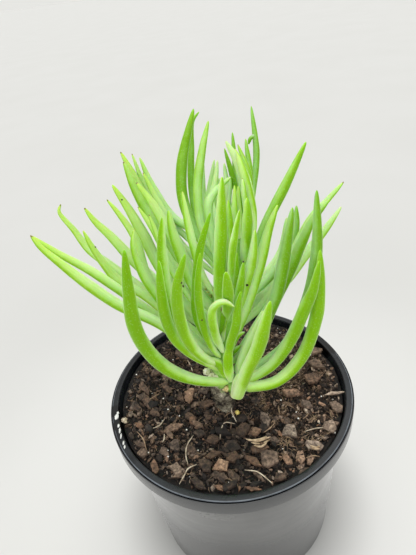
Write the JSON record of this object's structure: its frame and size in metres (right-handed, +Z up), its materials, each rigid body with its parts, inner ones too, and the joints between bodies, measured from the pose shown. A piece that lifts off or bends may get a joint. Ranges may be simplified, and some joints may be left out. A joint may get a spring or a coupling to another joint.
{
  "type": "potted crested chalk sticks",
  "caption": "Crested chalk sticks succulent with finger-like green leaves on a short grey stem, in bark mix in a round black nursery pot.",
  "frame": {"origin": "centre of the pot's underside, on the surface it stands on", "axes": "+Z up, -Y towards the front side that carries the short shoot, +X to the right seen from the front"},
  "size_m": [0.163, 0.1512, 0.283],
  "materials": {
    "pot": "moulded black polypropylene, satin with wet glossy patches on the rim",
    "soil": "damp composted bark with perlite",
    "stem": "dry grey bark with leaf scars",
    "leaf": "smooth living leaf skin with a pale wax bloom"
  },
  "bodies": {
    "root": {"nursery_pot": "pot", "potting_soil": "soil", "crested_stem": "stem", "leaf_back_centre": "leaf", "leaf_back_left": "leaf", "leaf_back_left_low": "leaf", "leaf_back_right": "leaf", "leaf_back_right_low": "leaf", "leaf_back_upright": "leaf", "leaf_crown_hook": "leaf", "leaf_crown_left_long": "leaf", "leaf_crown_left_thin": "leaf", "leaf_crown_middle": "leaf", "leaf_front_blunt": "leaf", "leaf_front_hook": "leaf", "leaf_front_second": "leaf", "leaf_left_arc": "leaf", "leaf_left_blunt": "leaf", "leaf_left_bright": "leaf", "leaf_left_front_high": "leaf", "leaf_left_front_low": "leaf", "leaf_left_front_mid": "leaf", "leaf_left_front_thin": "leaf", "leaf_left_high_back": "leaf", "leaf_left_high_dark": "leaf", "leaf_left_high_last": "leaf", "leaf_left_high_long": "leaf", "leaf_left_high_pale": "leaf", "leaf_left_high_thin": "leaf", "leaf_left_low_hooked": "leaf", "leaf_left_low_inner": "leaf", "leaf_left_mid_back": "leaf", "leaf_left_mid_front": "leaf", "leaf_left_mid_high": "leaf", "leaf_left_pale": "leaf", "leaf_left_small_high": "leaf", "leaf_left_small_low": "leaf", "leaf_left_tall": "leaf", "leaf_left_twin_back": "leaf", "leaf_left_twin_front": "leaf", "leaf_mid_dotted": "leaf", "leaf_mid_right_big": "leaf", "leaf_mid_short": "leaf", "leaf_mid_tall": "leaf", "leaf_mid_wide": "leaf", "leaf_right_arc_inner": "leaf", "leaf_right_arc_outer": "leaf", "leaf_right_bent": "leaf", "leaf_right_dark": "leaf", "leaf_right_far_high": "leaf", "leaf_right_far_low": "leaf", "leaf_right_hook_back": "leaf", "leaf_right_long": "leaf", "leaf_right_mid_back": "leaf", "leaf_right_tall": "leaf", "leaf_top_right_long": "leaf", "leaf_top_right_short": "leaf", "leaf_top_tallest": "leaf", "leaf_young_upright": "leaf"}
  },
  "joints": []
}
